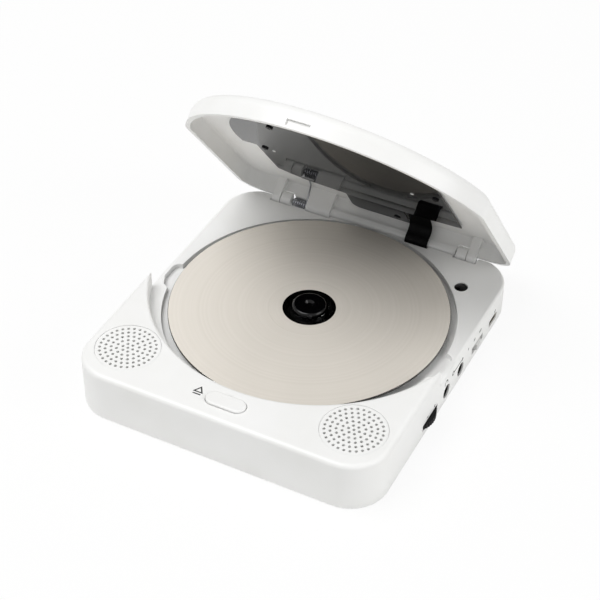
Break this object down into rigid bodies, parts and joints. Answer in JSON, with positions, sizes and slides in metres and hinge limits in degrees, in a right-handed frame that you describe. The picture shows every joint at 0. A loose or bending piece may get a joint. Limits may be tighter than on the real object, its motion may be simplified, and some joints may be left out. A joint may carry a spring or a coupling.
{
  "type": "wall-mounted CD player",
  "caption": "Flat white wall-mounted CD player: the sprung lid swings open over the disc, with a latch button, speaker grilles, side sockets, and keyhole hangers on the back.",
  "frame": {"origin": "centre of the base's back face, the face that lies against the wall", "axes": "+Z out of the wall towards the disc, +Y up the wall towards the hinge, +X to the right seen from the front"},
  "size_m": [0.1387, 0.1557, 0.1214],
  "materials": {
    "shell_white": "fine satin moulded",
    "lid_white": "fine satin moulded",
    "panel_black": "polished",
    "black_plastic": "moulded",
    "circuit_board": "solder mask",
    "chip_black": "moulded",
    "steel": "plain",
    "spring_steel": "drawn wire",
    "ribbon_black": "film",
    "polycarbonate_disc": "printed face",
    "rubber": "soft",
    "paper_cone": "pressed",
    "magnet": "plain",
    "lens_glass": "polished",
    "socket_black": "moulded",
    "plated_shell": "plated"
  },
  "bodies": {
    "base": {"top_case": "shell_white", "bottom_case": "shell_white", "case_screws": "steel", "ribbon_cable": "ribbon_black", "ribbon_socket": "black_plastic", "button_spring": "spring_steel", "latch_guide": "black_plastic", "latch_springs": "spring_steel", "main_board": "circuit_board", "board_chips": "chip_black", "volume_pot": "black_plastic", "mode_switch_body": "black_plastic", "usb_socket": "plated_shell", "key_board": "circuit_board", "lid_sensor": "black_plastic", "drive_chassis": "steel", "chassis_dampers": "rubber", "spindle_motor": "steel", "guide_rods": "steel", "feed_motor": "steel", "left_grille": "shell_white", "right_grille": "shell_white", "left_speaker_basket": "black_plastic", "left_speaker_cone": "paper_cone", "left_speaker_magnet": "magnet", "right_speaker_basket": "black_plastic", "right_speaker_cone": "paper_cone", "right_speaker_magnet": "magnet", "headphone_jack": "socket_black", "line_out_jack": "socket_black"},
    "lid": {"lid_shell": "lid_white", "lid_panel": "panel_black", "lid_board": "circuit_board", "panel_screws": "steel", "hinge_pins": "steel", "lid_spring": "spring_steel"},
    "button": {"open_button": "shell_white"},
    "latch": {"latch_slider": "black_plastic"},
    "spindle": {"spindle_shaft": "steel", "turntable": "black_plastic", "hub_balls": "steel", "disc": "polycarbonate_disc"},
    "volume": {"volume_wheel": "black_plastic"},
    "mode_knob": {"mode_switch_knob": "shell_white"},
    "pickup": {"pickup_sled": "black_plastic", "pickup_lens": "lens_glass"},
    "feed_screw": {"lead_screw": "steel"},
    "back_key_body": {"back_key": "shell_white"},
    "play_key_body": {"play_key": "shell_white"},
    "stop_key_body": {"stop_key": "shell_white"},
    "next_key_body": {"next_key": "shell_white"}
  },
  "joints": [
    {"name": "lid_hinge", "type": "hinge", "parent": "base", "child": "lid", "pos_m": [0, 0.073, 0.016], "axis": [-1, 0, 0], "range_deg": [-51.8, 0], "stiffness_Nm_per_rad": 0.03, "springref_deg": 68.75, "deforming": ["lid_spring", "ribbon_cable"]},
    {"name": "disc_spin", "type": "hinge", "parent": "base", "child": "spindle", "pos_m": [0, 0.0083, 0.0144], "axis": [0, 0, 1], "continuous": true},
    {"name": "button_press", "type": "slide", "parent": "base", "child": "button", "axis": [0, 0, -1], "range_m": [0, 0.0015], "stiffness_N_per_m": 400, "springref_m": -0.001, "deforming": ["button_spring"]},
    {"name": "latch_slide", "type": "slide", "parent": "base", "child": "latch", "axis": [0, -1, 0], "range_m": [0, 0.0015], "stiffness_N_per_m": 300, "springref_m": -0.001, "deforming": ["latch_springs"]},
    {"name": "volume_turn", "type": "hinge", "parent": "base", "child": "volume", "pos_m": [0.0589, -0.018, 0.006], "axis": [0, 0, 1], "range_deg": [-135, 135]},
    {"name": "mode_slide", "type": "slide", "parent": "base", "child": "mode_knob", "axis": [0, 1, 0], "range_m": [-0.003, 0.003]},
    {"name": "pickup_slide", "type": "slide", "parent": "base", "child": "pickup", "axis": [0, -1, 0], "range_m": [0, 0.033]},
    {"name": "feed_screw_turn", "type": "hinge", "parent": "base", "child": "feed_screw", "pos_m": [-0.0175, -0.0585, 0.0075], "axis": [0, 1, 0], "range_deg": [0, 3961]},
    {"name": "back_key_press", "type": "slide", "parent": "base", "child": "back_key_body", "axis": [1, 0, 0], "range_m": [0, 0.0006], "stiffness_N_per_m": 500, "springref_m": -0.0004},
    {"name": "play_key_press", "type": "slide", "parent": "base", "child": "play_key_body", "axis": [1, 0, 0], "range_m": [0, 0.0006], "stiffness_N_per_m": 500, "springref_m": -0.0004},
    {"name": "stop_key_press", "type": "slide", "parent": "base", "child": "stop_key_body", "axis": [1, 0, 0], "range_m": [0, 0.0006], "stiffness_N_per_m": 500, "springref_m": -0.0004},
    {"name": "next_key_press", "type": "slide", "parent": "base", "child": "next_key_body", "axis": [1, 0, 0], "range_m": [0, 0.0006], "stiffness_N_per_m": 500, "springref_m": -0.0004}
  ],
  "couplings": [
    {"joint": "latch_slide", "follows": "button_press", "ratio": 1},
    {"joint": "feed_screw_turn", "follows": "pickup_slide", "rad_per_m": 2094.4}
  ]
}
